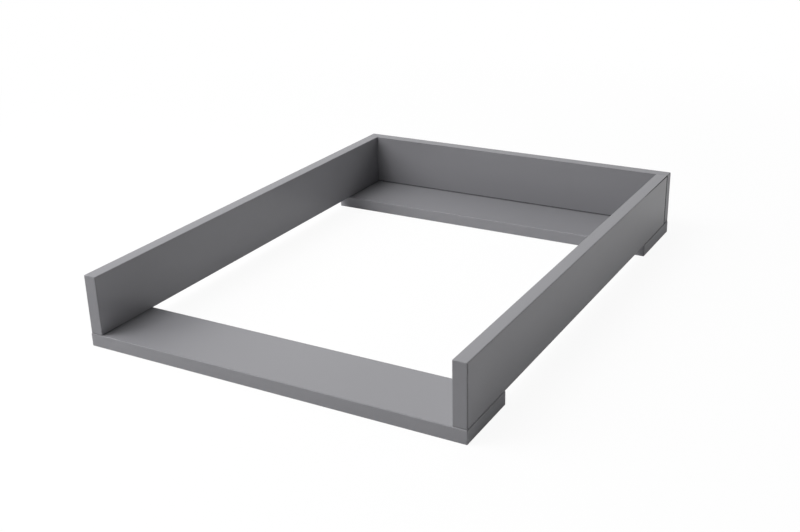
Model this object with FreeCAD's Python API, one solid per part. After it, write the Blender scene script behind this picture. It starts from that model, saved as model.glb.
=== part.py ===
"""Changing top: a three-sided tray of grey edge-banded board that stands on a chest of drawers.

Two side panels and a back panel stand on a front and a rear base board, and the front stays open.
A changing mat lies on the two base boards, between the three upright panels.
The frame is in millimetres: X runs to the right, Y to the back and Z up.
The origin is the middle of the footprint, on the face that rests on the chest.
"""

import FreeCAD
import Part
import math
import os

# Overall sizes, over the edge bands of the base boards
WIDTH = 541.0
DEPTH = 727.0
HEIGHT = 99.5

# Boards
BOARD = 18.0
FRONT_BOARD_DEPTH = 100.0
REAR_BOARD_DEPTH = 118.5
UPRIGHT_INSET = 0.5  # the uprights stand this far in from the edges of the base boards

# Edge bands: plastic strips glued round each board, with rounded outer edges
BAND = 1.3
BAND_ROUND = 1.0
ROUND_LIMIT = 0.9  # the largest share of its band's thickness that a rounding takes

# Joining screws with a countersunk head, a plain neck and a core that the thread stands on
SCREW_LENGTH = 50.0
SCREW_HEAD_DIAMETER = 10.0
SCREW_HEAD_RIM = 1.0
SCREW_NECK_DIAMETER = 7.0
SCREW_NECK_LENGTH = 12.0
SCREW_CORE_DIAMETER = 5.0
SCREW_TIP_DIAMETER = 2.5
SCREW_TIP_LENGTH = 4.0
SCREW_CLEARANCE = 0.1
PILOT_SPARE_DEPTH = 2.0
SOCKET_ACROSS_FLATS = 4.0
SOCKET_DEPTH = 3.0
UNDERSIDE_SINK = 0.5

# Beech dowels
DOWEL_DIAMETER = 8.0
DOWEL_LENGTH = 30.0
DOWEL_DEPTH_IN_FACE = 12.0
DOWEL_CHAMFER = 1.0
DOWEL_CLEARANCE = 0.05
DOWEL_SPARE_DEPTH = 0.5

# Caps that press into the sockets of the two screws on the back
CAP_OVERHANG = 1.5
CAP_RIM = 0.6
CAP_DOME = 0.8
CAP_PLUG_CLEARANCE = 0.1
CAP_PLUG_END_GAP = 0.6

# Drilling pattern
JOINT_EDGE_DISTANCE = 20.0
JOINT_PITCH = 32.0
BACK_SCREW_INSET = 80.0
BACK_SCREW_COUNT = 3

# Places worked out from the sizes above
BASE_FRONT_Y = -DEPTH / 2
BASE_REAR_Y = DEPTH / 2
UPRIGHT_X = WIDTH / 2 - UPRIGHT_INSET
UPRIGHT_FRONT_Y = BASE_FRONT_Y + UPRIGHT_INSET
UPRIGHT_REAR_Y = BASE_REAR_Y - UPRIGHT_INSET
SIDE_X = UPRIGHT_X - BOARD / 2
SIDE_REAR_Y = UPRIGHT_REAR_Y - BOARD
BACK_PANEL_Y = UPRIGHT_REAR_Y - BOARD / 2
CORNER_Z = BOARD + (HEIGHT - BOARD) / 2

# Directions
AXES = "XYZ"
SIDES = {"left": "-X", "right": "+X", "front": "-Y", "rear": "+Y", "bottom": "-Z", "top": "+Z"}
UP = FreeCAD.Vector(0, 0, 1)
FORWARD = FreeCAD.Vector(0, -1, 0)

# Construction values
HEXAGON = 6
TOUCH = 1e-6
CUT_OVERRUN = 5.0


def facing(side):
    """The number of the axis that a side faces along, and whether it faces the axis's positive end."""
    sign, letter = SIDES[side]
    return AXES.index(letter), sign == "+"


def box_between(low, high):
    """A box from its lowest to its highest corner."""
    size = [high[axis] - low[axis] for axis in range(3)]
    return Part.makeBox(*size, FreeCAD.Vector(*low))


def lies_in(edge, axis, place):
    """True if both ends of a straight edge lie in the plane across that axis."""
    return all(abs(vertex.Point[axis] - place) < TOUCH for vertex in edge.Vertexes)


def edge_band(low, high, side, butted):
    """A band between two corners, rounded except on the board and where its ends are butted."""
    axis, positive = facing(side)
    sharp_planes = [(axis, low[axis] if positive else high[axis])]
    for end in butted:
        end_axis, end_positive = facing(end)
        sharp_planes.append((end_axis, high[end_axis] if end_positive else low[end_axis]))
    strip = box_between(low, high)
    rounded = [e for e in strip.Edges if not any(lies_in(e, *plane) for plane in sharp_planes)]
    radius = min(BAND_ROUND, ROUND_LIMIT * BAND)
    return strip.makeFillet(radius, rounded)


def banded_board(name, low, high, long_sides, end_sides, butt_end=None):
    """The core of a board and its edge bands, as a dict of solids by node name.

    The bands on the long sides run over the ends of those on the end sides.
    A butted end has no band, because another board covers it.
    """
    core_low, core_high = list(low), list(high)
    for side in long_sides + end_sides:
        axis, positive = facing(side)
        if positive:
            core_high[axis] -= BAND
        else:
            core_low[axis] += BAND
    solids = {name: box_between(core_low, core_high)}
    for side in long_sides + end_sides:
        axis, positive = facing(side)
        if side in long_sides:
            band_low, band_high = list(low), list(high)
            butted = [butt_end] if butt_end else []
        else:
            band_low, band_high = list(core_low), list(core_high)
            butted = long_sides
        if positive:
            band_low[axis], band_high[axis] = core_high[axis], high[axis]
        else:
            band_low[axis], band_high[axis] = low[axis], core_low[axis]
        solids[f"{name}_{side}_band"] = edge_band(band_low, band_high, side, butted)
    return solids


def boards():
    """The five boards with their bands, before drilling."""
    half = WIDTH / 2
    solids = {}
    solids.update(
        banded_board(
            "front_base_board",
            (-half, BASE_FRONT_Y, 0),
            (half, BASE_FRONT_Y + FRONT_BOARD_DEPTH, BOARD),
            ["front", "rear"],
            ["left", "right"],
        )
    )
    solids.update(
        banded_board(
            "rear_base_board",
            (-half, BASE_REAR_Y - REAR_BOARD_DEPTH, 0),
            (half, BASE_REAR_Y, BOARD),
            ["front", "rear"],
            ["left", "right"],
        )
    )
    for hand, sign in (("left", -1), ("right", 1)):
        solids.update(
            banded_board(
                f"{hand}_side_panel",
                (sign * SIDE_X - BOARD / 2, UPRIGHT_FRONT_Y, BOARD),
                (sign * SIDE_X + BOARD / 2, SIDE_REAR_Y, HEIGHT),
                ["top", "bottom"],
                ["front"],
                butt_end="rear",
            )
        )
    solids.update(
        banded_board(
            "back_panel",
            (-UPRIGHT_X, SIDE_REAR_Y, BOARD),
            (UPRIGHT_X, UPRIGHT_REAR_Y, HEIGHT),
            ["top", "bottom"],
            ["left", "right"],
        )
    )
    return solids


def turned(outline):
    """A solid of revolution about +Z, from its outline as (radius, height) points."""
    points = [FreeCAD.Vector(radius, 0, height) for radius, height in outline]
    face = Part.Face(Part.makePolygon(points + points[:1]))
    return face.revolve(FreeCAD.Vector(0, 0, 0), UP, 360)


def hexagon_prism(across_flats, low, high):
    """A six-sided prism about +Z between two heights."""
    radius = across_flats / 2 / math.cos(math.pi / HEXAGON)
    corners = []
    for corner in range(HEXAGON):
        angle = 2 * math.pi * corner / HEXAGON
        corners.append(FreeCAD.Vector(radius * math.cos(angle), radius * math.sin(angle), low))
    return Part.Face(Part.makePolygon(corners + corners[:1])).extrude(UP * (high - low))


def driven(shape, start, direction):
    """A shape made along +Z, set at its start and turned to the direction that it is driven in."""
    turn = FreeCAD.Rotation(UP, direction)
    placed = shape.copy()
    placed.Placement = FreeCAD.Placement(FreeCAD.Vector(*start), turn)
    return placed


def screw(sink):
    """A joining screw, driven along +Z from the board's face at height 0."""
    head = SCREW_HEAD_DIAMETER / 2
    neck = SCREW_NECK_DIAMETER / 2
    core = SCREW_CORE_DIAMETER / 2
    end = sink + SCREW_LENGTH
    seat = sink + SCREW_HEAD_RIM
    shoulder = sink + SCREW_NECK_LENGTH
    body = turned(
        [
            (0, sink),
            (head, sink),
            (head, seat),
            (neck, seat + head - neck),
            (neck, shoulder),
            (core, shoulder + neck - core),
            (core, end - SCREW_TIP_LENGTH),
            (SCREW_TIP_DIAMETER / 2, end),
            (0, end),
        ]
    )
    return body.cut(hexagon_prism(SOCKET_ACROSS_FLATS, sink, sink + SOCKET_DEPTH))


def screw_bore(sink):
    """The stepped and countersunk hole for a screw, through one board and into the next."""
    head = SCREW_HEAD_DIAMETER / 2 + SCREW_CLEARANCE
    neck = SCREW_NECK_DIAMETER / 2 + SCREW_CLEARANCE
    pilot = SCREW_CORE_DIAMETER / 2 + SCREW_CLEARANCE
    seat = sink + SCREW_HEAD_RIM
    end = sink + SCREW_LENGTH + PILOT_SPARE_DEPTH
    return turned(
        [
            (0, -CUT_OVERRUN),
            (head, -CUT_OVERRUN),
            (head, seat),
            (neck, seat + head - neck),
            (neck, BOARD),
            (pilot, BOARD),
            (pilot, end),
            (0, end),
        ]
    )


def dowel():
    """A dowel with chamfered ends, whose height 0 is the face that it crosses."""
    low = -DOWEL_DEPTH_IN_FACE
    high = low + DOWEL_LENGTH
    radius = DOWEL_DIAMETER / 2
    return turned(
        [
            (0, low),
            (radius - DOWEL_CHAMFER, low),
            (radius, low + DOWEL_CHAMFER),
            (radius, high - DOWEL_CHAMFER),
            (radius - DOWEL_CHAMFER, high),
            (0, high),
        ]
    )


def dowel_bore():
    """The hole for a dowel, blind in both boards."""
    low = -DOWEL_DEPTH_IN_FACE - DOWEL_SPARE_DEPTH
    high = DOWEL_LENGTH - DOWEL_DEPTH_IN_FACE + DOWEL_SPARE_DEPTH
    radius = DOWEL_DIAMETER / 2 + DOWEL_CLEARANCE
    return Part.makeCylinder(radius, high - low, UP * low)


def screw_cap():
    """A domed cap on the board's face at height 0, with a plug that goes into the screw's socket."""
    radius = SCREW_HEAD_DIAMETER / 2 + CAP_OVERHANG
    dome_base = -CAP_RIM
    dome_top = dome_base - CAP_DOME
    sphere_radius = (radius**2 + CAP_DOME**2) / (2 * CAP_DOME)
    halfway = math.asin(radius / sphere_radius) / 2
    crown = FreeCAD.Vector(
        sphere_radius * math.sin(halfway), 0, dome_top + sphere_radius * (1 - math.cos(halfway))
    )
    top = FreeCAD.Vector(0, 0, dome_top)
    rim = FreeCAD.Vector(radius, 0, dome_base)
    foot = FreeCAD.Vector(radius, 0, 0)
    middle = FreeCAD.Vector(0, 0, 0)
    outline = Part.Wire(
        [
            Part.Arc(top, crown, rim).toShape(),
            Part.makeLine(rim, foot),
            Part.makeLine(foot, middle),
            Part.makeLine(middle, top),
        ]
    )
    disc = Part.Face(outline).revolve(middle, UP, 360)
    plug_flats = SOCKET_ACROSS_FLATS - 2 * CAP_PLUG_CLEARANCE
    plug = hexagon_prism(plug_flats, dome_base, SOCKET_DEPTH - CAP_PLUG_END_GAP)
    return disc.fuse(plug).removeSplitter()


def joints():
    """Every fastener's places: node name to (kind, direction, list of starts)."""
    places = {}
    for hand, sign in (("left", -1), ("right", 1)):
        x = sign * SIDE_X
        for end, inner_edge, outward in (
            ("front", BASE_FRONT_Y + FRONT_BOARD_DEPTH, -1),
            ("rear", BASE_REAR_Y - REAR_BOARD_DEPTH, 1),
        ):
            dowel_y = inner_edge + outward * JOINT_EDGE_DISTANCE
            screw_y = dowel_y + outward * JOINT_PITCH
            places[f"{end}_{hand}_screw"] = ("sunk_screw", UP, [(x, screw_y, 0)])
            places[f"{end}_{hand}_dowel"] = ("dowel", UP, [(x, dowel_y, BOARD)])
        screw_z = CORNER_Z + JOINT_PITCH / 2
        dowel_z = CORNER_Z - JOINT_PITCH / 2
        places[f"back_{hand}_screw"] = ("flush_screw", FORWARD, [(x, UPRIGHT_REAR_Y, screw_z)])
        places[f"back_{hand}_screw_cap"] = ("cap", FORWARD, [(x, UPRIGHT_REAR_Y, screw_z)])
        places[f"back_{hand}_dowel"] = ("dowel", FORWARD, [(x, SIDE_REAR_Y, dowel_z)])
    reach = UPRIGHT_X - BACK_SCREW_INSET
    step = 2 * reach / (BACK_SCREW_COUNT - 1)
    screw_xs = [-reach + step * index for index in range(BACK_SCREW_COUNT)]
    dowel_xs = [x + step / 2 for x in screw_xs[:-1]]
    places["back_base_screws"] = ("sunk_screw", UP, [(x, BACK_PANEL_Y, 0) for x in screw_xs])
    places["back_base_dowels"] = ("dowel", UP, [(x, BACK_PANEL_Y, BOARD) for x in dowel_xs])
    return places


def drilled(solid, bores):
    """A board or band with every hole that reaches it."""
    for bore in bores:
        if solid.BoundBox.intersect(bore.BoundBox):
            solid = solid.cut(bore)
    return solid


def build():
    """All sub-parts, as a dict of shapes by node name."""
    fasteners = {
        "sunk_screw": (screw(UNDERSIDE_SINK), screw_bore(UNDERSIDE_SINK)),
        "flush_screw": (screw(0), screw_bore(0)),
        "dowel": (dowel(), dowel_bore()),
        "cap": (screw_cap(), None),
    }
    parts = {}
    bores = []
    for name, (kind, direction, starts) in joints().items():
        solid, bore = fasteners[kind]
        parts[name] = Part.makeCompound([driven(solid, start, direction) for start in starts])
        if bore:
            bores += [driven(bore, start, direction) for start in starts]
    for name, solid in boards().items():
        parts[name] = drilled(solid, bores)
    return parts


def export(parts):
    """Writes one STEP file for each sub-part and prints what it holds."""
    os.makedirs("parts", exist_ok=True)
    for name in sorted(parts):
        shape = parts[name]
        shape.exportStep(f"parts/{name}.step")
        print(f"{name}: {len(shape.Solids)} solid(s), {shape.Volume / 1000:.2f} cm3, valid {shape.isValid()}")
    print(f"{len(parts)} nodes")


export(build())
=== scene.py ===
# %% [markdown]
# A changing top in grey board
#
# A changing top is a shallow tray without a front. It stands on a chest of drawers and keeps a changing
# mat in place. Two side panels and a back panel stand on two base boards. Every board is particle board
# faced with grey melamine, and plastic bands cover its edges.
#
# The CAD model already has every piece at its real size, so this script never moves it. It loads the
# model as a fixed frame, gives each board its finish, and rebuilds the small pieces whose edges, threads
# and flutes need a finer mesh.

# %% Load the fixed frame
import math

import bmesh
import bpy
from mathutils import Color, Matrix, Quaternion, Vector


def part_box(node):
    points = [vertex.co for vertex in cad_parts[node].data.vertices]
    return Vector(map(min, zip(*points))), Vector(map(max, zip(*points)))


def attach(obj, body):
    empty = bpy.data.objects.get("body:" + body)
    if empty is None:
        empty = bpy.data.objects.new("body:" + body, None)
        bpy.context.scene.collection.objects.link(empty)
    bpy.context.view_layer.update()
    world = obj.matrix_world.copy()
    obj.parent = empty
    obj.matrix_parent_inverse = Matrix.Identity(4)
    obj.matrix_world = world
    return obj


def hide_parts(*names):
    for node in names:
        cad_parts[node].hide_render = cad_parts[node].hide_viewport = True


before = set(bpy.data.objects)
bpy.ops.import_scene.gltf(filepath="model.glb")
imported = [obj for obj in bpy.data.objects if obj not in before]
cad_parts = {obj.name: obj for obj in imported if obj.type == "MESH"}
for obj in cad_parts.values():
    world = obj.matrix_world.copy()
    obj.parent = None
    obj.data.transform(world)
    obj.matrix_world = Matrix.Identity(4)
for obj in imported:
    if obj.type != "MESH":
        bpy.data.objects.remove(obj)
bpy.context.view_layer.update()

MM = 0.001
BODY = "root"


def in_mm(sides):
    """Lengths in metres as rounded millimetres, to print."""
    return [round(side / MM, 1) for side in sides]


# %% [markdown]
# The camera
#
# A viewpoint can be found by trial, or worked out from straight edges whose real sizes are known. Here it
# was worked out: the place, the three angles and the lens make the edges of the boards fall where the
# photograph has them. The small roll is there because the photograph is a little off level.
#
# A camera and a lamp both look along their own -Z, so one function aims both.

# %% Aim a camera or a lamp
LOOKS_ALONG = "-Z"
KEEPS_UPRIGHT = "Y"


def direction(azimuth, elevation):
    """The way out from the middle of the object. Azimuth 0 is to the front and 90 degrees to the right."""
    level = math.cos(elevation)
    return Vector((math.sin(azimuth) * level, -math.cos(azimuth) * level, math.sin(elevation)))


def aim(item, place, sight):
    """Puts a camera or a lamp at a place and turns it to look along a line of sight."""
    item.location = place
    item.rotation_mode = "QUATERNION"
    item.rotation_quaternion = sight.to_track_quat(LOOKS_ALONG, KEEPS_UPRIGHT)
    bpy.context.scene.collection.objects.link(item)


print("a camera in front would look along", list(-direction(0.0, 0.0)))

# %% Set up the camera
CAMERA_PLACE = Vector((0.73026, -1.30558, 0.64175))
VIEW_AZIMUTH = math.radians(29.730)
VIEW_ELEVATION = math.radians(22.351)
VIEW_ROLL = math.radians(-1.407)
LENS_MM = 50.489
SENSOR_MM = 36.0
UP = Vector((0, 0, 1))


def make_camera():
    """The camera at the photograph's viewpoint, rolled about its own line of sight."""
    data = bpy.data.cameras.new("camera")
    data.lens = LENS_MM
    data.sensor_width = SENSOR_MM
    camera = bpy.data.objects.new("camera", data)
    aim(camera, CAMERA_PLACE, -direction(VIEW_AZIMUTH, VIEW_ELEVATION))
    camera.rotation_quaternion = camera.rotation_quaternion @ Quaternion(UP, VIEW_ROLL)
    bpy.context.scene.camera = camera
    return camera


print("camera at", in_mm(make_camera().location), "mm")

# %% [markdown]
# Materials as expressions
#
# A material's nodes can be placed one by one, but long chains of Math nodes are hard to read. The class
# below wraps one output socket. Python's operators on it add the Math nodes, so a mask is written as a
# plain formula. Every other node comes from its one method, node.


# %% A socket that takes part in formulas
class Wire:
    """One output socket of a node tree. Without a socket it stands for the tree itself."""

    def __init__(self, tree, socket=None):
        self.tree = tree
        self.socket = socket

    def node(self, kind, settings=None, sockets=None, output=0):
        """A new node: its settings first, then its sockets as values or wires. Returns one output."""
        made = self.tree.nodes.new(kind)
        for name, value in (settings or {}).items():
            setattr(made, name, value)
        for name, value in (sockets or {}).items():
            if isinstance(value, Wire):
                self.tree.links.new(value.socket, made.inputs[name])
            else:
                made.inputs[name].default_value = value
        return Wire(self.tree, made.outputs[output] if made.outputs else None)

    def output(self, name):
        """Another output of the node that this socket belongs to."""
        return Wire(self.tree, self.socket.node.outputs[name])

    def maths(self, operation, *values):
        """A Math node on wires and numbers."""
        return self.node("ShaderNodeMath", {"operation": operation}, dict(enumerate(values)))

    def __add__(self, other):
        return self.maths("ADD", self, other)

    def __sub__(self, other):
        return self.maths("SUBTRACT", self, other)

    def __rsub__(self, other):
        return self.maths("SUBTRACT", other, self)

    def __mul__(self, other):
        return self.maths("MULTIPLY", self, other)

    def __lt__(self, other):
        return self.maths("LESS_THAN", self, other)

    def __gt__(self, other):
        return self.maths("GREATER_THAN", self, other)

    __radd__ = __add__
    __rmul__ = __mul__

    def least(self, other):
        """The smaller of two values."""
        return self.maths("MINIMUM", self, other)

    def most(self, other):
        """The larger of two values, which also joins two masks."""
        return self.maths("MAXIMUM", self, other)


print("a wire has the methods", [name for name in vars(Wire) if not name.startswith("__")])

# %% [markdown]
# Nodes that every finish uses
#
# All the finishes here are noise, two colours that it mixes, and one principled shader with a bump. Noise
# reads Object coordinates, which are metres in the frame of the object, so its scale says how many grains
# there are to a metre. A grey is written as the level that a screen shows, because that is how greys are
# compared by eye, and Blender's own conversion makes it linear.

# %% Patterns
AXES = X, Y, Z = range(3)
AXIS_LETTERS = "xyz"
SOFT_DETAIL = 2.0


def new_finish(name):
    """A new material, and a wire with the Object coordinates of its surface."""
    material = bpy.data.materials.new(name)
    material.use_nodes = True
    material.node_tree.nodes.clear()
    return material, Wire(material.node_tree).node("ShaderNodeTexCoord", output="Object")


def noise(place, scale, detail=SOFT_DETAIL):
    """Soft noise from 0 to 1, whose grains are about one over the scale in size."""
    return place.node("ShaderNodeTexNoise", None, {"Vector": place, "Scale": scale, "Detail": detail})


def long_noise(place, axis, along, across, detail=SOFT_DETAIL):
    """Noise drawn out along one axis, with one scale along it and a finer one across it."""
    scales = [along if other == axis else across for other in AXES]
    drawn_out = place.node("ShaderNodeMapping", None, {"Vector": place, "Scale": scales})
    return noise(drawn_out, 1.0, detail)


print("soft noise has a detail of", SOFT_DETAIL)

# %% Colours and the closing shader
SCREEN_WHITE = 255
GREY_TINT = (0.0, -0.2, 3.4)


def grey(level):
    """A slightly cool grey by the level from 0 to 255 that a screen shows, as a linear colour."""
    shown = Color([(level + tint) / SCREEN_WHITE for tint in GREY_TINT])
    return (*shown.from_srgb_to_scene_linear(), 1.0)


def blend(share, first, second):
    """A colour between two colours. The Mix node has its sockets for colours at these numbers."""
    factor, colour_a, colour_b, result = 0, 6, 7, 2
    sockets = {factor: share, colour_a: first, colour_b: second}
    return share.node("ShaderNodeMix", {"data_type": "RGBA"}, sockets, output=result)


def surface(colour, roughness, height, relief, **constants):
    """The closing nodes: a relief in metres makes a bump, and all goes into one principled shader."""
    bump = height.node("ShaderNodeBump", None, {"Strength": 1.0, "Distance": relief, "Height": height})
    sockets = {"Base Color": colour, "Roughness": roughness, "Normal": bump}
    sockets.update({name.replace("_", " "): value for name, value in constants.items()})
    shader = height.node("ShaderNodeBsdfPrincipled", None, sockets)
    height.node("ShaderNodeOutputMaterial", None, {"Surface": shader})


print("grey level 128 is linear", [round(channel, 3) for channel in grey(128)[:3]])

# %% [markdown]
# Painted shade at joints and edges
#
# Boards that are screwed together never close quite tight, and where light can't get in, the joint shows as
# a dark line. The photograph has such lines where the panels stand on the base boards, at the rear corners
# and along the upper edges towards the back. They could be cut as grooves, but they are finer than the
# rounding beside them, so the shade is painted instead: masks in the finish of the upright boards and their
# bands paint dark lines over the joints, and over the rounded edges beside them where shade falls.
#
# Each line runs along one side of its piece's box and has a width in millimetres. It can widen from a first
# to a last width, keep to a stretch of the piece, and keep to one face. Outer stands for the side that
# looks away from the middle. One edge has a painted highlight instead: a pale line on the front base
# board's band under the right panel's front foot, where its rounded top edge catches the light.

# %% Sides and stretches of the pieces
SIDES = {"left": (X, 0), "right": (X, 1), "front": (Y, 0), "rear": (Y, 1), "bottom": (Z, 0), "top": (Z, 1)}
UPPER_LINE_START = 235 * MM


def reach(axis, first, last):
    """The stretch along an axis from the start of one piece to the end of another."""
    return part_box(first)[0][axis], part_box(last)[1][axis]


FRONT_FOOT = reach(Y, "front_base_board_front_band", "front_base_board_rear_band")
REAR_FOOT = reach(Y, "rear_base_board_front_band", "rear_base_board_rear_band")
RIGHT_FOOT = reach(X, "right_side_panel", "right_side_panel")
REAR_TOP = (UPPER_LINE_START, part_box("left_side_panel")[1].y)
print("the panels stand on the base boards at", in_mm(FRONT_FOOT), "and", in_mm(REAR_FOOT), "mm")

# %% Where the lines are
def line(side, width, last_width=None, stretch=None, face=None):
    """One line along a side of a piece, with its widths turned into metres."""
    if last_width is None:
        last_width = width
    return side, width * MM, last_width * MM, stretch, face


# Painted shade lines, by piece or by kind: dark lines over the joints and over the rounded edges beside
# them, where shade falls.
BACK_END = [line("front", 1.00), line("bottom", 1.20)]
PAINTED_SHADE_LINES = {
    "side_panel": [
        line("front", 0.75, face="outer"),
        line("bottom", 0.20, stretch=FRONT_FOOT, face="outer"),
        line("bottom", 0.30, 1.00, stretch=REAR_FOOT, face="outer"),
        line("rear", 2.60, face="outer"),
    ],
    "side_panel_top_band": [
        line("outer", 0.00, 0.75, stretch=REAR_TOP),
        line("rear", 2.60, face="outer"),
    ],
    "side_panel_bottom_band": [
        line("bottom", 0.80, 0.50, stretch=FRONT_FOOT),
        line("bottom", 0.75, 0.90, stretch=REAR_FOOT),
    ],
    "right_side_panel_bottom_band": [
        line("top", 0.12, stretch=FRONT_FOOT),
        line("bottom", 0.75, 0.90, stretch=REAR_FOOT),
    ],
    "right_side_panel_front_band": [line("bottom", 0.12)],
    "back_panel": [line("bottom", 0.80, face="front")],
    "back_panel_bottom_band": [line("bottom", 0.25)],
    "back_panel_left_band": BACK_END,
    "back_panel_right_band": BACK_END,
}
# A painted highlight: a pale line along the top of the front base board's band, under the right panel's
# foot.
PAINTED_HIGHLIGHT_LINES = {"front_base_board_front_band": [line("top", 0.50, stretch=RIGHT_FOOT)]}
# Painted shade: the near-black colour of the shade lines.
PAINTED_SHADE_COLOUR = grey(12)
PAINTED_HIGHLIGHT_COLOUR = grey(155)


def hand_and_kind(node):
    """The hand of a piece, left or right if it has one, and the rest of its name."""
    hand, _, kind = node.partition("_")
    return (hand, kind) if hand in ("left", "right") else (None, node)


def entry(table, node, default=None):
    """What a table says of a piece: under its own name, or else under its kind."""
    return table.get(node, table.get(hand_and_kind(node)[1], default))


# Pieces whose finish has painted shade lines.
print("pieces with painted shade lines:", [node for node in sorted(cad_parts) if entry(PAINTED_SHADE_LINES, node)])

# %% Masks of the lines
FACE_DEPTH = 0.3 * MM


def axes_by_size(node):
    """The axes of a piece's box, from its thinnest side to its longest."""
    low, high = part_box(node)
    return sorted(AXES, key=lambda axis: high[axis] - low[axis])


def distances_to_sides(place, node):
    """The distances from a place to the six sides of a piece's box, and to its outer side if it has one."""
    low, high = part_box(node)
    split = place.node("ShaderNodeSeparateXYZ", None, {"Vector": place})
    found = {}
    for side, (axis, end) in SIDES.items():
        along = split.output(axis)
        found[side] = high[axis] - along if end else along - low[axis]
    found["outer"] = found.get(hand_and_kind(node)[0])
    return found


def line_masks(table, node, sides):
    """The masks of a piece's lines in a table, from the distances to the sides of its box."""
    low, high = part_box(node)
    length = axes_by_size(node)[-1]
    near_end = next(side for side, place in SIDES.items() if place == (length, 0))
    masks = []
    for side, width, last_width, stretch, face in entry(table, node, []):
        start, end = stretch or (low[length], high[length])
        way_along = (sides[near_end] + (low[length] - start)) * (1 / (end - start))
        mask = sides[side] < way_along * (last_width - width) + width
        if stretch:
            mask = mask * (way_along > 0.0) * (way_along < 1.0)
        if face:
            mask = mask * (sides[face] < FACE_DEPTH)
        masks.append(mask)
    return masks


def either(masks):
    """One mask from several."""
    whole = masks[0]
    for mask in masks[1:]:
        whole = whole.most(mask)
    return whole


print(f"a line on one face goes {FACE_DEPTH / MM:.1f} mm deep")

# %% [markdown]
# The melamine boards
#
# Melamine is printed paper pressed hard onto particle board: an even, satin grey with a relief that only
# shows close up. A flat colour would look like a paint chip, so the grey drifts a little over a hand's
# width and has a fine grain under a millimetre.
#
# Two more things come from where a point lies on its board. Along the border runs the dark line between
# board and edge band. Below the surface, in the drilled holes, the chips of the core show. Both masks are
# plain distances from the board's own box, which the frame gives.

# %% Finish of the melamine boards
GLOSS = 0.25
BARE_ROUGHNESS = 0.45
LAMINATE_LEVEL = 129.0
LAMINATE_DRIFT = 2.0
LAMINATE_DRIFT_SCALE = 7.0
LAMINATE_DRIFT_SHARE = 0.7
LAMINATE_GRAIN_SCALE = 1500.0
LAMINATE_ROUGHNESS = 0.28
LAMINATE_GRAIN_ROUGHNESS = 0.08
LAMINATE_RELIEF = 8e-6
LAMINATE_DEPTH = 0.2 * MM
GLUE_LINE = 0.03 * MM
CHIP_LIGHT = (0.46, 0.33, 0.19, 1.0)
CHIP_DARK = (0.20, 0.12, 0.06, 1.0)
CHIP_SCALE = 420.0
CHIP_DETAIL = 4.0


def laminate(board):
    """The finish of one board, with its glue lines, its painted shade lines at joints and edges, and its
    drilled holes.
    """
    material, place = new_finish(f"{board}_laminate")
    sides = distances_to_sides(place, board)
    thin = axes_by_size(board)[0]
    faces = [side for side, (axis, _) in SIDES.items() if axis == thin]
    chips = sides[faces[0]].least(sides[faces[1]]) > LAMINATE_DEPTH
    glue_lines = [sides[side] < GLUE_LINE for side in SIDES if side not in faces]
    # The dark mask joins the real glue lines with the painted shade lines.
    dark = either(glue_lines + line_masks(PAINTED_SHADE_LINES, board, sides))
    drift = noise(place, LAMINATE_DRIFT_SCALE)
    grain = noise(place, LAMINATE_GRAIN_SCALE)
    tone = drift * LAMINATE_DRIFT_SHARE + grain * (1 - LAMINATE_DRIFT_SHARE)
    paper = blend(tone, grey(LAMINATE_LEVEL - LAMINATE_DRIFT), grey(LAMINATE_LEVEL + LAMINATE_DRIFT))
    core = blend(noise(place, CHIP_SCALE, CHIP_DETAIL), CHIP_DARK, CHIP_LIGHT)
    colour = blend(chips, blend(dark, paper, PAINTED_SHADE_COLOUR), core)
    satin = LAMINATE_ROUGHNESS + LAMINATE_GRAIN_ROUGHNESS * grain
    roughness = satin + BARE_ROUGHNESS * chips.most(dark)
    surface(colour, roughness, grain, LAMINATE_RELIEF, Specular_IOR_Level=GLOSS)
    return material


def dress(node, material):
    """Gives a CAD node a finish in place of the one that it came with."""
    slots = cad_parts[node].data.materials
    slots.clear()
    slots.append(material)


for board in ("left_side_panel", "right_side_panel", "back_panel", "front_base_board", "rear_base_board"):
    dress(board, laminate(board))
    print("melamine on", board)

# %% [markdown]
# The edge bands: finish
#
# A band is a strip of plastic, dyed to match the board and glued to a sawn edge. The scraper that trims it
# leaves fine lines along the strip, which are noise drawn out along the band's longest axis. The bands on
# the panels' fronts and on the back panel's top are painted a shade darker than the others, as painted
# shade: their plastic is the same.
#
# A copy of the finish for every band would be easy, but most would be the same. So a band has a finish of
# its own only where a table names it, and the others share one for each axis.

# %% Finish of the edge bands
BAND_LEVEL = 130.0
# Painted shade: these bands are set a shade darker than the rest, though their plastic is the same.
PAINTED_SHADE_BAND_LEVELS = {"side_panel_front_band": 125.0, "back_panel_top_band": 125.0}
BAND_DRIFT = 1.5
BAND_DRIFT_SCALE = 11.0
BAND_DRIFT_SHARE = 0.6
BAND_ROUGHNESS = 0.39
BAND_LINE_ROUGHNESS = 0.10
BAND_RELIEF = 4e-6
SCRAPER_SCALES = (30.0, 2600.0)


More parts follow.
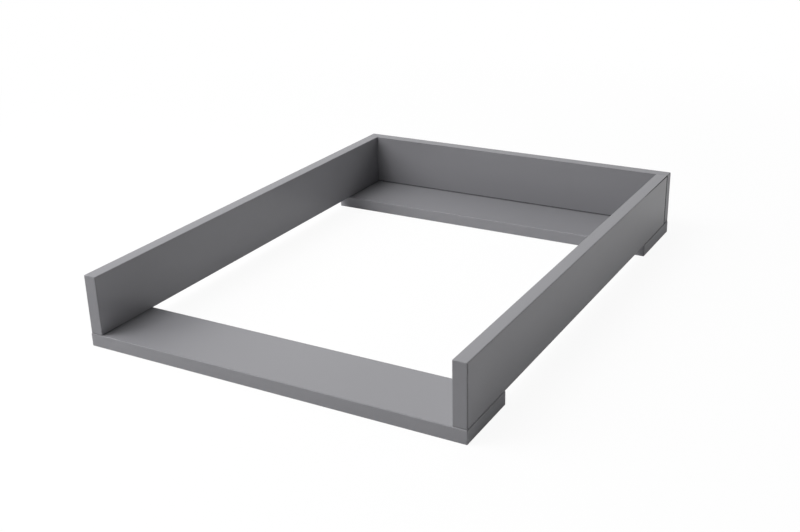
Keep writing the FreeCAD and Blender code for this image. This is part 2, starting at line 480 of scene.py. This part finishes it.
def band_plastic(name, axis, node=None):
    """Dyed plastic scraped along an axis, with the painted shade lines, the painted highlight and the
    darker painted-shade level that the tables give a node.
    """
    material, place = new_finish(name)
    scrapes = long_noise(place, axis, *SCRAPER_SCALES)
    drift = noise(place, BAND_DRIFT_SCALE)
    tone = drift * BAND_DRIFT_SHARE + scrapes * (1 - BAND_DRIFT_SHARE)
    # Bands named in the table get a darker level as painted shade.
    level = entry(PAINTED_SHADE_BAND_LEVELS, node, BAND_LEVEL) if node else BAND_LEVEL
    colour = blend(tone, grey(level - BAND_DRIFT), grey(level + BAND_DRIFT))
    roughness = BAND_ROUGHNESS + BAND_LINE_ROUGHNESS * scrapes
    if node:
        sides = distances_to_sides(place, node)
        # The tables give a band its painted highlight lines and its painted shade lines.
        for table, line_colour in ((PAINTED_HIGHLIGHT_LINES, PAINTED_HIGHLIGHT_COLOUR), (PAINTED_SHADE_LINES, PAINTED_SHADE_COLOUR)):
            masks = line_masks(table, node, sides)
            if masks:
                lines = either(masks)
                colour = blend(lines, colour, line_colour)
                roughness = roughness + BARE_ROUGHNESS * lines
    surface(colour, roughness, scrapes, BAND_RELIEF, Specular_IOR_Level=GLOSS)
    return material


plain_bands = [band_plastic(f"band_plastic_{AXIS_LETTERS[axis]}", axis) for axis in AXES]


def band_finish(node):
    """The finish of one band: its own if a table names it, and otherwise the plain one for its axis."""
    length = axes_by_size(node)[-1]
    if any(entry(table, node) for table in (PAINTED_SHADE_LINES, PAINTED_HIGHLIGHT_LINES, PAINTED_SHADE_BAND_LEVELS)):
        return band_plastic(f"{node}_plastic", length, node)
    return plain_bands[length]


print("plain band finishes:", [material.name for material in plain_bands])

# %% [markdown]
# The edge bands: shape
#
# A machine trims each band flush and rounds its corners, which is why every edge of the real object
# catches a thin line of light. The band could be swept along the edge of its board, but a cube that is
# fitted to its CAD box and bevelled is simpler. One bevel rounds the outer edges with several segments,
# and a much smaller one eases the edges on the glue line. The bands under the upright panels have holes
# for screws and dowels, so those stay as the CAD made them.

# %% A finished piece
NEAR = 1e-6
SHARP_ANGLE = math.radians(40)


def in_plane(edge, axis, height):
    """True if both ends of an edge lie in the plane across an axis."""
    return all(abs(vert.co[axis] - height) < NEAR for vert in edge.verts)


def rounded_bevel(mesh, edges, offset, segments):
    """A bevel with a round profile, which keeps the material of its faces."""
    bmesh.ops.bevel(
        mesh, geom=edges, offset=offset, affect="EDGES", segments=segments, profile=0.5, material=-1
    )


def finished_piece(name, mesh, material, node):
    """Turns a bmesh into a smooth-shaded piece that stands for a CAD node and rides on the body."""
    bmesh.ops.recalc_face_normals(mesh, faces=mesh.faces)
    for face in mesh.faces:
        face.smooth = True
    data = bpy.data.meshes.new(name)
    mesh.to_mesh(data)
    mesh.free()
    data.set_sharp_from_angle(angle=SHARP_ANGLE)
    data.materials.append(material)
    piece = bpy.data.objects.new(name, data)
    bpy.context.scene.collection.objects.link(piece)
    weighted = piece.modifiers.new("flat faces stay flat", "WEIGHTED_NORMAL")
    weighted.keep_sharp = True
    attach(piece, BODY)
    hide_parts(node)
    print(name, len(data.polygons), "faces")


def nodes_ending(*endings):
    """The names of the CAD nodes with one of these endings, in order."""
    return [node for node in sorted(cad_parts) if node.endswith(endings)]


print(len(nodes_ending("_band")), "edge bands to make")

# %% Shape of the edge bands
BAND_ROUND = 1.0 * MM
BAND_EASE = 0.08 * MM
ROUND_SEGMENTS = 5
LONG_SIDES = {"side_panel": ("top", "bottom"), "back_panel": ("top",), "base_board": ("front", "rear")}


def make_band(node):
    """One band, fitted to its CAD box and rounded as the trimming machine leaves it."""
    board, side = node.removesuffix("_band").rsplit("_", 1)
    low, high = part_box(node)
    axis, end = SIDES[side]
    length = axes_by_size(node)[-1]
    joint = low[axis] if end else high[axis]
    sharp = [(axis, joint)]
    if not any(board.endswith(kind) and side in sides for kind, sides in LONG_SIDES.items()):
        sharp += [(length, low[length]), (length, high[length])]
    elif board.endswith("side_panel"):
        sharp.append((length, high[length]))
    mesh = bmesh.new()
    bmesh.ops.create_cube(mesh, size=1.0)
    bmesh.ops.scale(mesh, vec=high - low, verts=mesh.verts)
    bmesh.ops.translate(mesh, vec=(low + high) / 2, verts=mesh.verts)
    outer = [edge for edge in mesh.edges if not any(in_plane(edge, *plane) for plane in sharp)]
    rounded_bevel(mesh, outer, BAND_ROUND, ROUND_SEGMENTS)
    eased = [edge for edge in mesh.edges if in_plane(edge, axis, joint)]
    rounded_bevel(mesh, eased, BAND_EASE, 1)
    finished_piece(f"{node}_strip", mesh, band_finish(node), node)


drilled_bands = nodes_ending("_bottom_band")
for node in nodes_ending("_band"):
    if node in drilled_bands:
        dress(node, band_finish(node))
        print(node, "keeps its CAD shape")
    else:
        make_band(node)

# %% [markdown]
# Turned pieces with a hexagon
#
# The joining screws and the caps over them are round pieces with a six-sided socket or plug. Spin turns
# an outline about an axis, but it can only make round things. So the hexagon is drawn as its own ring,
# with as many points as the round rim beside it, and bridge_loops joins the two rings with a flat collar.
# Screws, dowels and caps are all made along Z at the origin and then set in their places.

# %% Turned pieces with a hexagon
TURN_STEPS = 48
HEXAGON = 6
FORWARD = Vector((0, -1, 0))


def turn_with_hexagon(mesh, outline, across_flats, depth):
    """Spins an outline of (radius, height) points about Z, with a socket or plug inside its first ring."""
    height = outline[0][1]
    corner = across_flats / 2 / math.cos(math.pi / HEXAGON)
    bmesh.ops.create_circle(mesh, segments=HEXAGON, radius=corner)
    bmesh.ops.subdivide_edges(mesh, edges=mesh.edges, cuts=TURN_STEPS // HEXAGON - 1)
    bmesh.ops.translate(mesh, vec=UP * height, verts=mesh.verts)
    walls = bmesh.ops.extrude_edge_only(mesh, edges=mesh.edges)["geom"]
    end_verts = [item for item in walls if isinstance(item, bmesh.types.BMVert)]
    end_edges = [item for item in walls if isinstance(item, bmesh.types.BMEdge)]
    bmesh.ops.translate(mesh, vec=UP * depth, verts=end_verts)
    bmesh.ops.contextual_create(mesh, geom=end_edges)
    verts = [mesh.verts.new((radius, 0, along)) for radius, along in outline]
    edges = [mesh.edges.new(pair) for pair in zip(verts, verts[1:])]
    bmesh.ops.spin(
        mesh,
        geom=verts + edges,
        cent=(0, 0, 0),
        axis=UP,
        angle=2 * math.pi,
        steps=TURN_STEPS,
        use_merge=True,
    )
    bmesh.ops.remove_doubles(mesh, verts=mesh.verts, dist=NEAR)
    rims = [edge for edge in mesh.edges if edge.is_boundary and in_plane(edge, Z, height)]
    bmesh.ops.bridge_loops(mesh, edges=rims)


def driven(start, way):
    """The place of a piece made along Z, set at its start and turned to the way that it is driven."""
    return Matrix.Translation(start) @ UP.rotation_difference(way).to_matrix().to_4x4()


print("a turned ring has", TURN_STEPS, "points, and a side of the hexagon", TURN_STEPS // HEXAGON)

# %% [markdown]
# Rows of fasteners
#
# Most nodes hold one screw or one dowel, and those under the back panel hold a row. A node's box tells
# everything: the longer of its height and depth is the length of the fastener, the shorter is its
# diameter, and a box that is much wider than that holds a row. Fasteners go in from below, and those in
# the back panel go in from behind.

# %% Rows of fasteners
WIDER_THAN_ONE = 4


def fasteners_in(node, row_count):
    """Where the fasteners in a node start, the axis that they lie along, their radius and their length."""
    low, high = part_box(node)
    middle = (low + high) / 2
    sides = high - low
    axis = Y if sides.y > sides.z else Z
    radius = min(sides.y, sides.z) / 2
    places = [middle.x]
    if sides.x > WIDER_THAN_ONE * radius:
        step = (sides.x - 2 * radius) / (row_count - 1)
        places = [low.x + radius + step * index for index in range(row_count)]
    if axis == Y:
        starts = [driven(Vector((x, high.y, middle.z)), FORWARD) for x in places]
    else:
        starts = [driven(Vector((x, middle.y, low.z)), UP) for x in places]
    return starts, axis, radius, sides[axis]


def gathered(starts, make, *sizes):
    """One bmesh with a copy at each start of what a function makes from its sizes."""
    whole = bmesh.new()
    for start in starts:
        one = bmesh.new()
        make(one, *sizes)
        one.transform(start)
        part = bpy.data.meshes.new("one fastener")
        one.to_mesh(part)
        one.free()
        whole.from_mesh(part)
        bpy.data.meshes.remove(part)
    return whole


screw_nodes = nodes_ending("_screw", "_screws")
dowel_nodes = nodes_ending("_dowel", "_dowels")
print(len(screw_nodes), "nodes of screws and", len(dowel_nodes), "nodes of dowels")

# %% [markdown]
# The joining screws
#
# These are coarse-threaded screws for board: a countersunk head with a six-sided socket, a plain neck and
# a thread that cuts its own way into the core. Only the heads show, on the underside. The thread is still
# a real helix, made by a spin that also climbs, because the piece should look right when taken apart.
# Bright zinc is a metal whose tone drifts between blue and straw.

# %% Finish of the screws
ZINC_BLUE = (0.50, 0.53, 0.57, 1.0)
ZINC_STRAW = (0.57, 0.55, 0.49, 1.0)
ZINC_CLOUD_SCALE = 260.0
ZINC_CLOUD_DETAIL = 3.0
ZINC_SCUFF_SCALE = 2400.0
ZINC_ROUGHNESS = 0.26
ZINC_SCUFF_ROUGHNESS = 0.16
ZINC_RELIEF = 3e-6


def zinc():
    """Bright zinc with soft clouds of colour and fine scuffs."""
    material, place = new_finish("bright_zinc")
    cloud = noise(place, ZINC_CLOUD_SCALE, ZINC_CLOUD_DETAIL)
    scuff = noise(place, ZINC_SCUFF_SCALE)
    roughness = ZINC_ROUGHNESS + ZINC_SCUFF_ROUGHNESS * scuff
    surface(blend(cloud, ZINC_BLUE, ZINC_STRAW), roughness, scuff, ZINC_RELIEF, Metallic=1.0)
    return material


zinc_finish = zinc()
print("finish:", zinc_finish.name)

# %% Body of a screw
SCREW_RIM = 1.0 * MM
SCREW_NECK = 3.5 * MM
SCREW_NECK_LENGTH = 12.0 * MM
SCREW_CORE = 2.5 * MM
SCREW_SHOULDER = SCREW_NECK_LENGTH + SCREW_NECK - SCREW_CORE
SCREW_TIP = 1.25 * MM
SCREW_TIP_LENGTH = 4.0 * MM
SOCKET_FLATS = 4.0 * MM
SOCKET_DEPTH = 3.0 * MM
HEAD_EASE = 0.3 * MM


def screw_body(mesh, head, length):
    """The head, neck, core and tip, turned from one outline, with its socket."""
    outline = [
        (SCREW_NECK, 0),
        (head - HEAD_EASE, 0),
        (head, HEAD_EASE),
        (head, SCREW_RIM),
        (SCREW_NECK, SCREW_RIM + head - SCREW_NECK),
        (SCREW_NECK, SCREW_NECK_LENGTH),
        (SCREW_CORE, SCREW_SHOULDER),
        (SCREW_CORE, length - SCREW_TIP_LENGTH),
        (SCREW_TIP, length),
        (0, length),
    ]
    turn_with_hexagon(mesh, outline, SOCKET_FLATS, SOCKET_DEPTH)


print(f"the thread starts {SCREW_SHOULDER / MM:.1f} mm from the face of the head")

# %% Thread of a screw
THREAD_PITCH = 3.0 * MM
THREAD_BASE = 0.7 * MM
THREAD_SUNK = 0.2 * MM
THREAD_STEPS = 24
THREAD_TAPER = (SCREW_NECK - SCREW_TIP) / (2 * SCREW_TIP_LENGTH)


def screw_thread(mesh, length):
    """A triangle that climbs as it turns, then is trimmed to the taper of the tip."""
    root = SCREW_CORE - THREAD_SUNK
    turns = math.floor((length - SCREW_SHOULDER - THREAD_PITCH) / THREAD_PITCH)
    profile = [(root, 0), (SCREW_NECK, THREAD_BASE), (root, 2 * THREAD_BASE)]
    body = set(mesh.verts)
    verts = [mesh.verts.new((radius, 0, SCREW_SHOULDER + height)) for radius, height in profile]
    edges = [mesh.edges.new(pair) for pair in zip(verts, verts[-1:] + verts[:-1])]
    bmesh.ops.spin(
        mesh,
        geom=verts + edges,
        cent=(0, 0, 0),
        axis=UP,
        dvec=UP * (THREAD_PITCH / THREAD_STEPS),
        angle=2 * math.pi * turns,
        steps=turns * THREAD_STEPS,
    )
    for vert in set(mesh.verts) - body:
        limit = SCREW_TIP + (length - vert.co.z) * THREAD_TAPER
        radius = math.hypot(vert.co.x, vert.co.y)
        if radius > limit:
            vert.co.x *= limit / radius
            vert.co.y *= limit / radius
    bmesh.ops.holes_fill(mesh, edges=[edge for edge in mesh.edges if edge.is_boundary], sides=len(profile))


print(f"the thread climbs {THREAD_PITCH / MM:.1f} mm in a turn of {THREAD_STEPS} steps")

# %% The screws in their places
SCREW_ROW = 3


def screw(mesh, head, length):
    """One whole screw along Z, with its head at the origin."""
    screw_body(mesh, head, length)
    screw_thread(mesh, length)


for node in screw_nodes:
    starts, _, head, length = fasteners_in(node, SCREW_ROW)
    screws = gathered(starts, screw, head, length)
    finished_piece(f"{node}_threaded", screws, zinc_finish, node)

# %% [markdown]
# The beech dowels
#
# A dowel keeps two boards in line while the screw pulls them together. Its flutes let the glue out. A
# cone with equal ends gives the rod, every third line of points moves in to make a flute, and a bevel of
# the rims gives the chamfers. Beech has short dark flecks along the grain, so its finish is two layers of
# drawn-out noise.

# %% Finish of the dowels
BEECH_LIGHT = (0.62, 0.42, 0.25, 1.0)
BEECH_DARK = (0.42, 0.25, 0.13, 1.0)
GRAIN_SCALES = (60.0, 900.0)
GRAIN_DETAIL = 4.0
GRAIN_SHARE = 0.8
FLECK_SCALES = (320.0, 2200.0)
FLECK_LIMIT = 0.62
FLECK_SHARE = 0.35
BEECH_ROUGHNESS = 0.62
BEECH_GRAIN_ROUGHNESS = 0.2
BEECH_RELIEF = 2e-5


def beech(axis):
    """Raw beech whose grain runs along one axis."""
    material, place = new_finish(f"beech_{AXIS_LETTERS[axis]}")
    grain = long_noise(place, axis, *GRAIN_SCALES, GRAIN_DETAIL)
    flecks = long_noise(place, axis, *FLECK_SCALES) > FLECK_LIMIT
    darkness = (grain * GRAIN_SHARE + flecks * FLECK_SHARE).least(1.0)
    roughness = BEECH_ROUGHNESS + BEECH_GRAIN_ROUGHNESS * grain
    surface(blend(darkness, BEECH_LIGHT, BEECH_DARK), roughness, grain, BEECH_RELIEF)
    return material


beech_finishes = {axis: beech(axis) for axis in (Y, Z)}
print("dowel finishes:", [material.name for material in beech_finishes.values()])

# %% Shape of the dowels
DOWEL_ROW = 2
FLUTES = 16
LINES_PER_FLUTE = 3
POINTS_PER_LINE = 2
FLUTE_DEPTH = 0.3 * MM
DOWEL_CHAMFER = 1.0 * MM


def dowel(mesh, radius, length):
    """One fluted rod along Z, with chamfered ends, which starts at the origin."""
    lines = FLUTES * LINES_PER_FLUTE
    rod = bmesh.ops.create_cone(
        mesh, cap_ends=True, segments=lines, radius1=radius, radius2=radius, depth=length
    )["verts"]
    for index, vert in enumerate(sorted(rod, key=lambda vert: math.atan2(vert.co.y, vert.co.x))):
        if index // POINTS_PER_LINE % LINES_PER_FLUTE == 0:
            vert.co.x *= 1 - FLUTE_DEPTH / radius
            vert.co.y *= 1 - FLUTE_DEPTH / radius
    rims = [edge for edge in mesh.edges if in_plane(edge, Z, edge.verts[0].co.z)]
    rounded_bevel(mesh, rims, DOWEL_CHAMFER, 1)
    bmesh.ops.translate(mesh, vec=UP * (length / 2), verts=mesh.verts)


for node in dowel_nodes:
    starts, axis, radius, length = fasteners_in(node, DOWEL_ROW)
    dowels = gathered(starts, dowel, radius, length)
    finished_piece(f"{node}_fluted", dowels, beech_finishes[axis], node)

# %% [markdown]
# The caps on the back
#
# Two screws go in from behind, so moulded caps hide their heads. A cap is a low dome with a soft rim and a
# six-sided plug that is pressed into the screw's socket. It is turned like the screws, with the same
# hexagon helper. The dome is a piece of a large ball, whose size follows from the cap's radius and height.

# %% Finish of the caps
CAP_LEVEL = 124.0
CAP_DRIFT = 2.0
CAP_PEARL_SCALE = 3200.0
CAP_ROUGHNESS = 0.38
CAP_PEARL_ROUGHNESS = 0.1
CAP_RELIEF = 5e-6


def cap_plastic():
    """Moulded plastic with a fine pearl in its surface."""
    material, place = new_finish("cap_plastic")
    pearl = noise(place, CAP_PEARL_SCALE)
    colour = blend(pearl, grey(CAP_LEVEL - CAP_DRIFT), grey(CAP_LEVEL + CAP_DRIFT))
    surface(colour, CAP_ROUGHNESS + CAP_PEARL_ROUGHNESS * pearl, pearl, CAP_RELIEF)
    return material


cap_finish = cap_plastic()
print("finish:", cap_finish.name)

# %% Shape of the caps
CAP_RIM = 0.6 * MM
CAP_SOFT = 0.25 * MM
CAP_PLUG_FLATS = 3.8 * MM
CAP_PLUG_RING = 3.0 * MM
CAP_PLUG_LENGTH = 2.4 * MM
CAP_DOME_STEPS = 8


def make_cap(node):
    """One cap, turned from its outline and set on the back panel with its plug forwards."""
    low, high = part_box(node)
    radius = (high.x - low.x) / 2
    height = (high.y - low.y) - CAP_PLUG_LENGTH
    dome = height - CAP_RIM
    ball = (radius**2 + dome**2) / (2 * dome)
    sweep = math.asin(radius / ball)
    outline = [(CAP_PLUG_RING, 0), (radius - CAP_SOFT, 0), (radius, -CAP_SOFT), (radius, -CAP_RIM)]
    for step in range(1, CAP_DOME_STEPS + 1):
        angle = sweep * (1 - step / CAP_DOME_STEPS)
        outline.append((ball * math.sin(angle), ball * (1 - math.cos(angle)) - height))
    mesh = bmesh.new()
    turn_with_hexagon(mesh, outline, CAP_PLUG_FLATS, CAP_PLUG_LENGTH)
    seat = Vector(((low.x + high.x) / 2, high.y - height, (low.z + high.z) / 2))
    mesh.transform(driven(seat, FORWARD))
    finished_piece(f"{node}_dome", mesh, cap_finish, node)


for node in nodes_ending("_cap"):
    make_cap(node)

# %% [markdown]
# The floor and the white room
#
# The object stands on a white floor in a white room. Lamps strong enough to burn the floor out would burn
# the object out too, so the floor glows white for the camera's own rays only, and keeps part of its real
# shading, which leaves the soft shadow. Away from the object the glow takes over, so that the floor runs
# into the white room without a horizon. Mirror-like rays see some of the white too. The room is white for
# the same rays, so it shows in the gloss of the boards, but it sheds no other light on them.

# %% Floor
WHITE = (1.0, 1.0, 1.0, 1.0)
FLOOR_SIZE = 30.0
FLOOR_COLOUR = (0.90, 0.90, 0.90, 1.0)
FLOOR_GLOW = 0.93
FLOOR_GLOW_REACH = 1.6
FLOOR_GLOW_MIRRORED = 0.30


def seen_rays(start, straight, mirrored):
    """One number for rays from the camera, one for mirror-like rays, and 0 for the light on things."""
    path = start.node("ShaderNodeLightPath")
    mirror = path.output("Is Glossy Ray").most(path.output("Is Transmission Ray"))
    return path.output("Is Camera Ray") * straight + mirror * mirrored


def floor_finish():
    """White paint that turns into a white glow for the camera, and wholly so away from the object."""
    material, place = new_finish("white_floor")
    shaded = place.node("ShaderNodeBsdfDiffuse", None, {"Color": FLOOR_COLOUR})
    glowing = place.node("ShaderNodeEmission", None, {"Color": WHITE, "Strength": 1.0})
    distance = place.node("ShaderNodeVectorMath", {"operation": "LENGTH"}, {0: place}, output="Value")
    way_out = (distance * distance * (1 / FLOOR_GLOW_REACH**2)).least(1.0)
    share = seen_rays(place, FLOOR_GLOW + (1 - FLOOR_GLOW) * way_out, FLOOR_GLOW_MIRRORED)
    mixed = place.node("ShaderNodeMixShader", None, {0: share, 1: shaded, 2: glowing})
    place.node("ShaderNodeOutputMaterial", None, {"Surface": mixed})
    return material


def make_floor():
    """A wide flat floor under the object, which is not part of it."""
    mesh = bmesh.new()
    bmesh.ops.create_grid(mesh, x_segments=1, y_segments=1, size=FLOOR_SIZE / 2)
    data = bpy.data.meshes.new("floor")
    mesh.to_mesh(data)
    mesh.free()
    data.materials.append(floor_finish())
    floor = bpy.data.objects.new("floor", data)
    bpy.context.scene.collection.objects.link(floor)
    return floor


print("floor of", in_mm(make_floor().dimensions.xy), "mm")

# %% White room
def make_room():
    """A world that is white for the camera and for mirror-like rays, and dark for all others."""
    world = bpy.data.worlds.new("white_room")
    world.use_nodes = True
    world.node_tree.nodes.clear()
    start = Wire(world.node_tree)
    seen = seen_rays(start, 1.0, 1.0)
    light = start.node("ShaderNodeBackground", None, {"Color": WHITE, "Strength": seen})
    start.node("ShaderNodeOutputWorld", None, {"Surface": light})
    return world


bpy.context.scene.world = make_room()
bpy.context.scene.view_settings.view_transform = "Standard"
print("the room is", bpy.context.scene.world.name)

# %% [markdown]
# The lamps
#
# The photograph's shadows tell where its light stood. The left panel throws a soft shadow on the front
# board that runs back and to the right, so a large main light stands in front and to the left, at about
# half of a right angle. A second one, higher up in front, lights the tops of the panels. The inner faces
# and the right side are not black, so three weak fills stand behind: one low at the right, and two at
# the left. Their strengths were fitted to the greys of the faces in the photograph.

# %% Lamps
LAMP_TARGET = Vector((0, 0, 0.05))
LAMP_DISTANCE = 3.0
LAMPS = {  # azimuth and elevation in degrees, diameter in metres, watts
    "main_light": (-60, 40, 2.4, 70.7),
    "top_front_light": (-35, 60, 1.6, 46.8),
    "rear_right_fill": (120, 15, 1.3, 15.5),
    "top_rear_light": (210, 65, 2.0, 16.1),
    "rear_left_fill": (210, 40, 2.0, 9.0),
}


def soft_lamp(name, azimuth, elevation, diameter, watts):
    """A round soft lamp that shines on the object from one direction."""
    way = direction(math.radians(azimuth), math.radians(elevation))
    data = bpy.data.lights.new(name, "AREA")
    data.shape = "DISK"
    data.size = diameter
    data.energy = watts
    lamp = bpy.data.objects.new(name, data)
    aim(lamp, LAMP_TARGET + way * LAMP_DISTANCE, -way)
    return lamp


for name, settings in LAMPS.items():
    lamp = soft_lamp(name, *settings)
    print(lamp.name, "at", in_mm(lamp.location), "mm")
